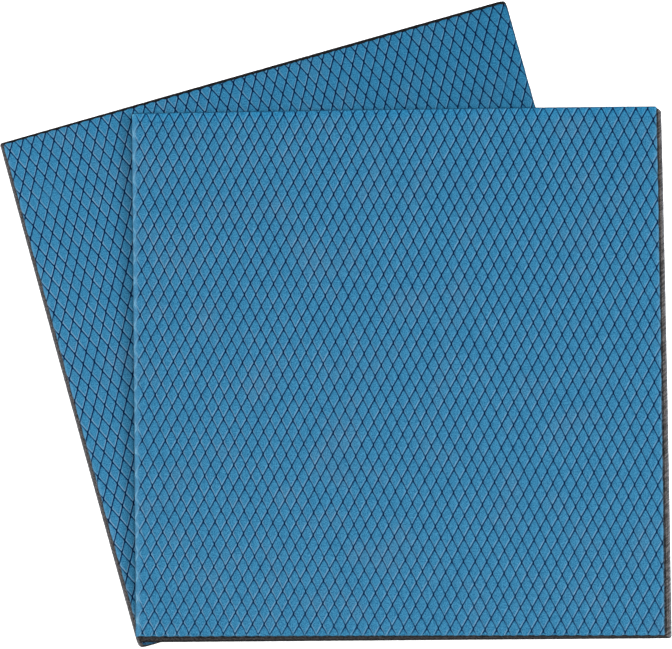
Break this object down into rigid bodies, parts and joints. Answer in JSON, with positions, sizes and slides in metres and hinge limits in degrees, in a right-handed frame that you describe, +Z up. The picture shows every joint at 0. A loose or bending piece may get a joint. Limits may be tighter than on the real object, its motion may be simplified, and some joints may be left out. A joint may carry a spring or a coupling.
{
  "type": "magnetic glass cleaner pads",
  "caption": "Square flexible magnetic cleaning pads with a diamond-embossed blue scrubbing face, lying fanned one on the other.",
  "frame": {"origin": "centre of the rear (lower) pad's back, on the surface it lies on", "axes": "+Z up out of the blue faces; the front (upper) pad's sides lie along X and Y; the rear pad is turned 15.2 degrees about +Z"},
  "size_m": [0.1273, 0.1228, 0.0061],
  "materials": {
    "scrub_face": "matt, embossed with diamonds",
    "cushion": "matt, fine foam where cut",
    "adhesive": "satin film",
    "magnet_sheet": "matt, granular where cut",
    "back_skin": "matt"
  },
  "bodies": {
    "rear_pad": {"rear_scrub_face": "scrub_face", "rear_cushion_layer": "cushion", "rear_face_adhesive": "adhesive", "rear_magnet_sheet": "magnet_sheet", "rear_back_adhesive": "adhesive", "rear_back_skin": "back_skin"},
    "front_pad": {"front_scrub_face": "scrub_face", "front_cushion_layer": "cushion", "front_face_adhesive": "adhesive", "front_magnet_sheet": "magnet_sheet", "front_back_adhesive": "adhesive", "front_back_skin": "back_skin"}
  },
  "joints": [
    {"name": "pad_fan", "type": "hinge", "parent": "rear_pad", "child": "front_pad", "pos_m": [-0.02783, -0.05718, 0.0031], "axis": [0, 0, 1], "range_deg": [-30, 60]}
  ]
}
